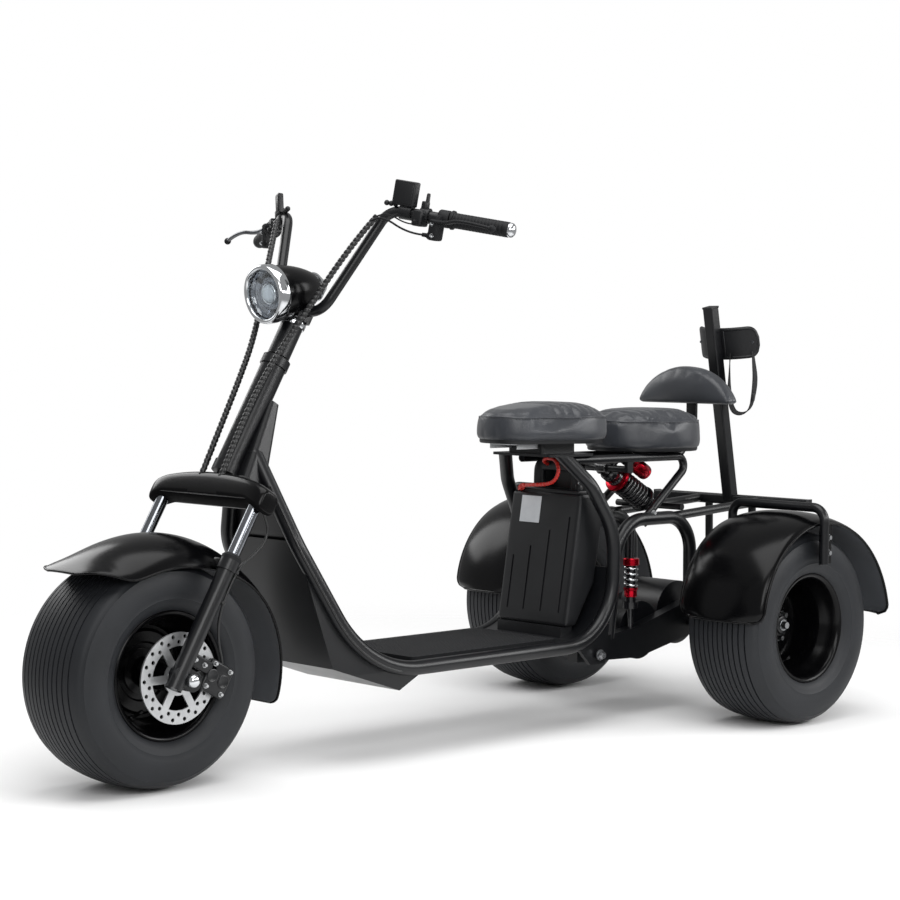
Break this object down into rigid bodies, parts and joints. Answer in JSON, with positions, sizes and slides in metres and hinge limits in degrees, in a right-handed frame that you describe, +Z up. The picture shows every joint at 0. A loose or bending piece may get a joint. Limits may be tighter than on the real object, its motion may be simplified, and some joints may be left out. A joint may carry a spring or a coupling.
{
  "type": "electric golf trike",
  "caption": "Electric golf trike with fat ribbed tyres, a raked steerable fork, in-line seats, a coil-over rear shock and an open bag cradle behind.",
  "frame": {"origin": "on the ground under the middle of the trike's bounding box", "axes": "+Z up, -Y forwards, +X to the trike's own left"},
  "size_m": [1.035, 2.259, 1.2189],
  "materials": {
    "tyre": "matt ribbed rubber",
    "gloss_black": "gloss black paint",
    "satin_black": "satin black powder coat",
    "steel": "brushed steel",
    "chrome": "polished chrome",
    "aluminium": "satin aluminium",
    "rubber": "matt rubber",
    "red_rubber": "red insulated lead",
    "black_plastic": "moulded black plastic",
    "lamp_glass": "clear lamp lens",
    "black_leather": "quilted black leather",
    "red_anodised": "red anodised",
    "webbing": "woven black webbing"
  },
  "bodies": {
    "frame": {"head_tube": "satin_black", "neck_shell": "satin_black", "frame_tubes": "satin_black", "apron": "satin_black", "deck": "satin_black", "deck_mat": "rubber", "belly_box": "satin_black", "battery_foot": "black_plastic", "battery": "black_plastic", "battery_lead": "red_rubber", "rear_axle": "satin_black", "pivot_mount": "satin_black", "swing_arms": "satin_black", "motor": "satin_black", "rear_hoops": "satin_black", "seat_plate": "satin_black", "front_seat": "black_leather", "rear_seat": "black_leather", "seat_rails": "satin_black", "backrest_post": "satin_black", "backrest": "black_leather", "shock_bars": "steel", "shock_body": "aluminium", "shock_spring": "chrome", "shock_reservoir": "red_anodised", "small_shocks": "chrome", "rear_fender_left": "gloss_black", "rear_fender_right": "gloss_black", "fender_hoops": "satin_black", "bag_rack": "satin_black", "bag_mast": "satin_black", "bag_cradle": "black_plastic", "bag_strap": "webbing", "bag_foot": "satin_black"},
    "fork": {"front_axle": "steel", "fork_stanchions": "chrome", "fork_sliders": "satin_black", "fork_crown": "satin_black", "crown_cover": "gloss_black", "stem": "aluminium", "handlebar": "satin_black", "grips": "rubber", "grip_caps": "aluminium", "brake_levers": "aluminium", "dash_box": "black_plastic", "switch_box": "black_plastic", "headlamp_shell": "chrome", "headlamp_bezel": "chrome", "headlamp_lens": "lamp_glass", "harnesses": "black_plastic", "front_fender": "gloss_black", "brake_caliper": "satin_black"},
    "front_wheel": {"front_tyre": "tyre", "front_rim": "gloss_black", "brake_rotor": "steel"},
    "rear_wheel_left": {"rear_left_tyre": "tyre", "rear_left_rim": "gloss_black"},
    "rear_wheel_right": {"rear_right_tyre": "tyre", "rear_right_rim": "gloss_black"}
  },
  "joints": [
    {"name": "steering", "type": "hinge", "parent": "frame", "child": "fork", "pos_m": [0, -0.91219, 0.23575], "axis": [0, 0.5, 0.866], "range_deg": [-30, 30]},
    {"name": "front_wheel_spin", "type": "hinge", "parent": "fork", "child": "front_wheel", "pos_m": [0, -0.9005, 0.229], "axis": [1, 0, 0], "continuous": true},
    {"name": "rear_left_spin", "type": "hinge", "parent": "frame", "child": "rear_wheel_left", "pos_m": [0.37, 0.6795, 0.229], "axis": [1, 0, 0], "continuous": true},
    {"name": "rear_right_spin", "type": "hinge", "parent": "frame", "child": "rear_wheel_right", "pos_m": [-0.37, 0.6795, 0.229], "axis": [1, 0, 0], "continuous": true}
  ]
}
